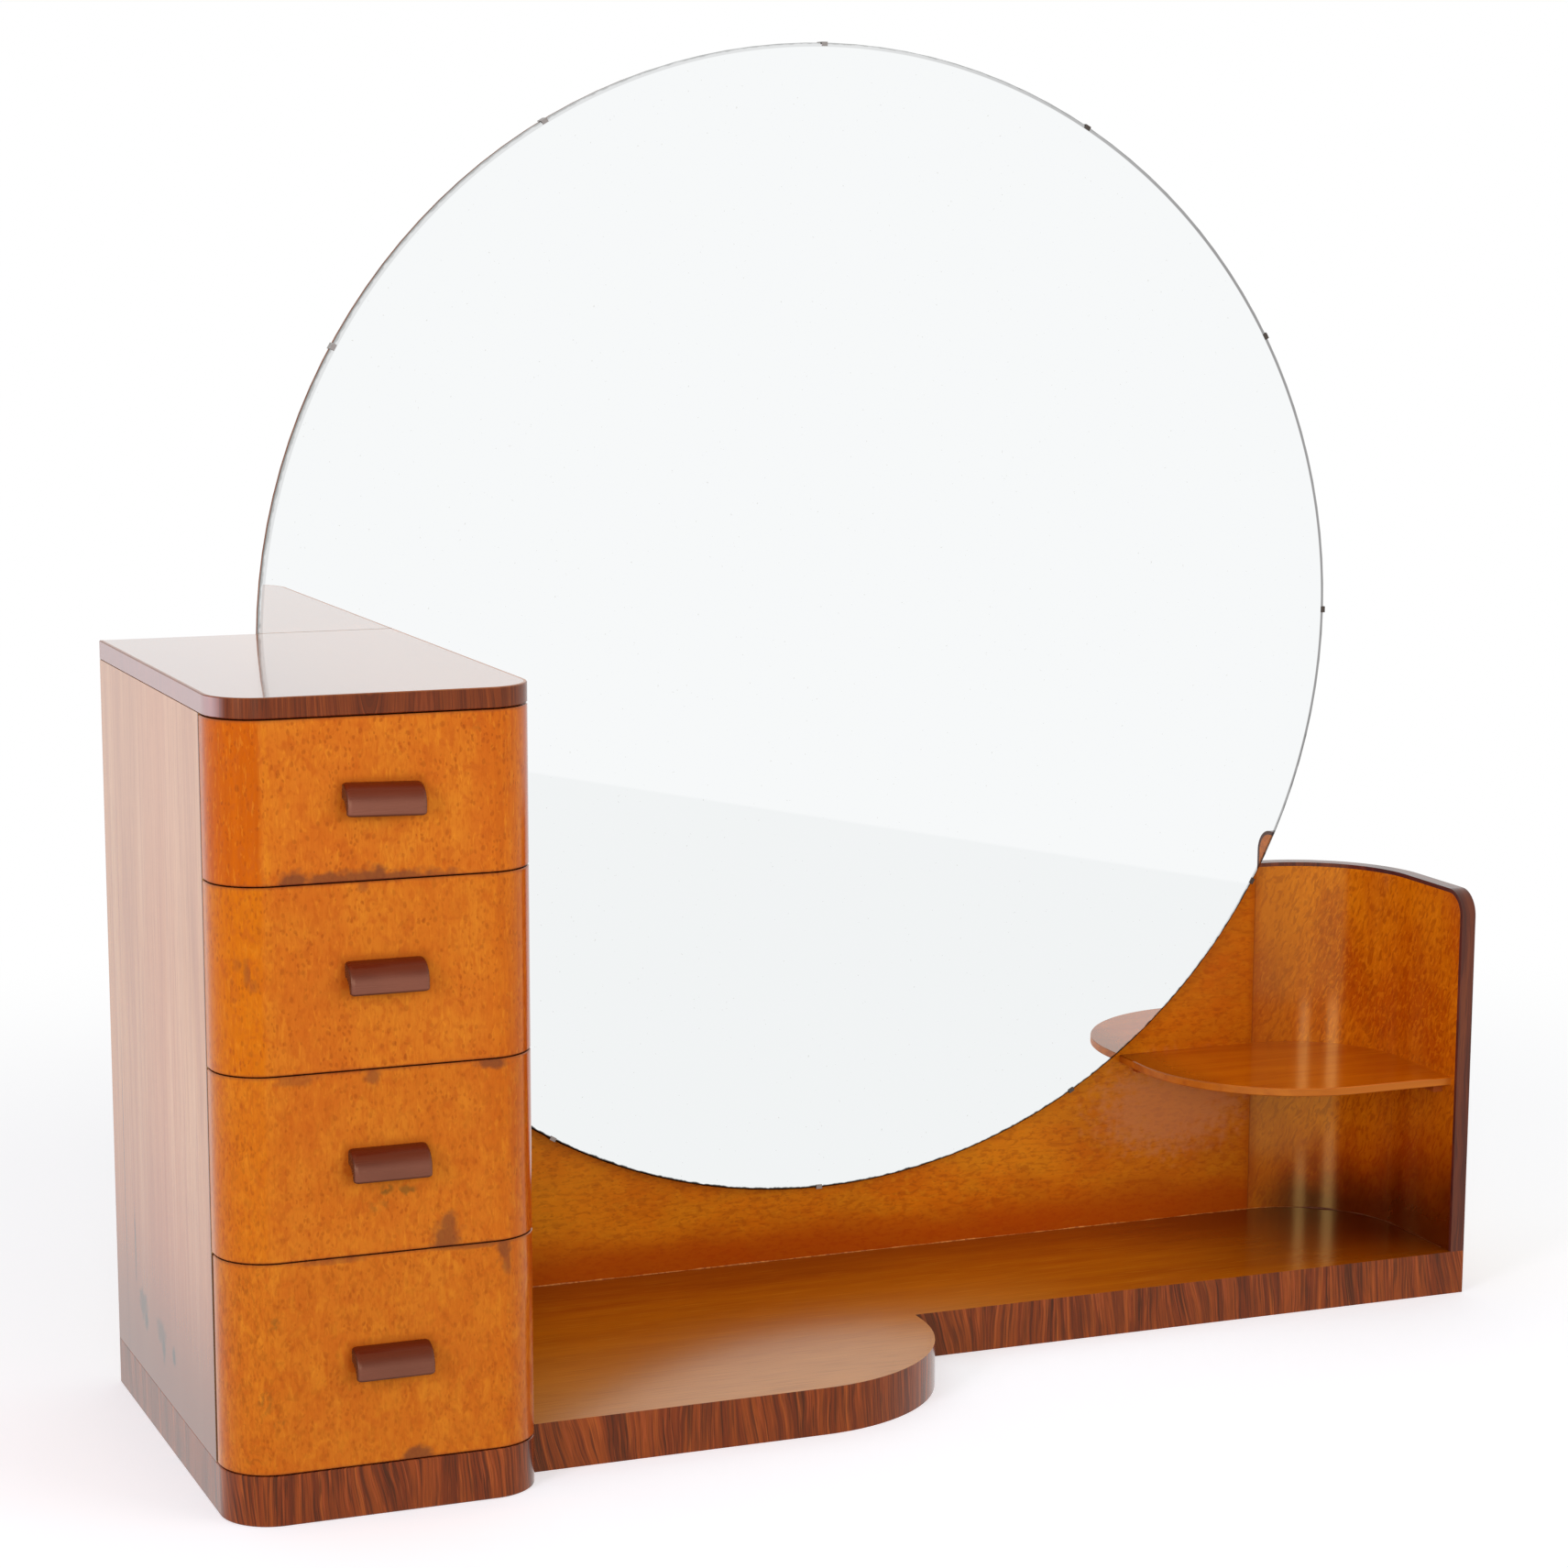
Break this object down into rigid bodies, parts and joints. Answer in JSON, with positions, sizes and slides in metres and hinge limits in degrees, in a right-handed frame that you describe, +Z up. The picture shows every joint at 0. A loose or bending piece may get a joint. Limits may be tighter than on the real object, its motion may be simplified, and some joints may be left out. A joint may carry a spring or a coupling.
{
  "type": "dresser with mirror",
  "caption": "Low dresser with a pedestal of curved-front drawers, a rounded deck, a bent corner wing with a shelf, and a large round mirror.",
  "frame": {"origin": "on the floor, under the middle of the whole object's box", "axes": "+X along the dresser from the drawer pedestal to the wing, +Y from the drawer fronts to the back, +Z up"},
  "size_m": [1.3052, 0.4946, 1.2168],
  "materials": {
    "burl_veneer": "golden burl veneer, polished lacquer",
    "side_veneer": "straight-grained walnut veneer, polished lacquer",
    "rosewood": "striped rosewood edging, polished lacquer",
    "ripple_veneer": "rippled golden veneer, polished lacquer",
    "plywood": "plain plywood",
    "softwood": "planed softwood",
    "drawer_wood": "planed birch",
    "pull_brown": "satin brown moulding",
    "mirror": "silvered glass",
    "clip_metal": "darkened metal",
    "steel": "plain steel"
  },
  "bodies": {
    "frame": {"pedestal_top": "burl_veneer", "pedestal_top_edging": "rosewood", "pedestal_base": "softwood", "pedestal_base_edging": "rosewood", "pedestal_plinth_rails": "softwood", "pedestal_side_left": "side_veneer", "pedestal_side_right": "side_veneer", "pedestal_back": "plywood", "runners_left": "drawer_wood", "runners_right": "drawer_wood", "pedestal_packer": "softwood", "deck_board": "burl_veneer", "deck_edging": "rosewood", "deck_front_rail": "softwood", "deck_rear_rail": "softwood", "deck_cross_rails": "softwood", "back_panel": "burl_veneer", "back_panel_edging": "rosewood", "corner_wing": "ripple_veneer", "wing_edging": "rosewood", "corner_shelf": "burl_veneer", "shelf_cleats": "softwood", "mirror_glass": "mirror", "mirror_backing": "plywood", "mirror_clips": "clip_metal", "upright_left": "softwood", "upright_right": "softwood", "upright_screws": "steel"},
    "drawer_1": {"drawer_1_front": "burl_veneer", "drawer_1_side_left": "drawer_wood", "drawer_1_side_right": "drawer_wood", "drawer_1_back": "drawer_wood", "drawer_1_bottom": "plywood", "drawer_1_handle": "pull_brown"},
    "drawer_2": {"drawer_2_front": "burl_veneer", "drawer_2_side_left": "drawer_wood", "drawer_2_side_right": "drawer_wood", "drawer_2_back": "drawer_wood", "drawer_2_bottom": "plywood", "drawer_2_handle": "pull_brown"},
    "drawer_3": {"drawer_3_front": "burl_veneer", "drawer_3_side_left": "drawer_wood", "drawer_3_side_right": "drawer_wood", "drawer_3_back": "drawer_wood", "drawer_3_bottom": "plywood", "drawer_3_handle": "pull_brown"},
    "drawer_4": {"drawer_4_front": "burl_veneer", "drawer_4_side_left": "drawer_wood", "drawer_4_side_right": "drawer_wood", "drawer_4_back": "drawer_wood", "drawer_4_bottom": "plywood", "drawer_4_handle": "pull_brown"}
  },
  "joints": [
    {"name": "drawer_1_slide", "type": "slide", "parent": "frame", "child": "drawer_1", "axis": [0, -1, 0], "range_m": [0, 0.3]},
    {"name": "drawer_2_slide", "type": "slide", "parent": "frame", "child": "drawer_2", "axis": [0, -1, 0], "range_m": [0, 0.3]},
    {"name": "drawer_3_slide", "type": "slide", "parent": "frame", "child": "drawer_3", "axis": [0, -1, 0], "range_m": [0, 0.3]},
    {"name": "drawer_4_slide", "type": "slide", "parent": "frame", "child": "drawer_4", "axis": [0, -1, 0], "range_m": [0, 0.3]}
  ]
}
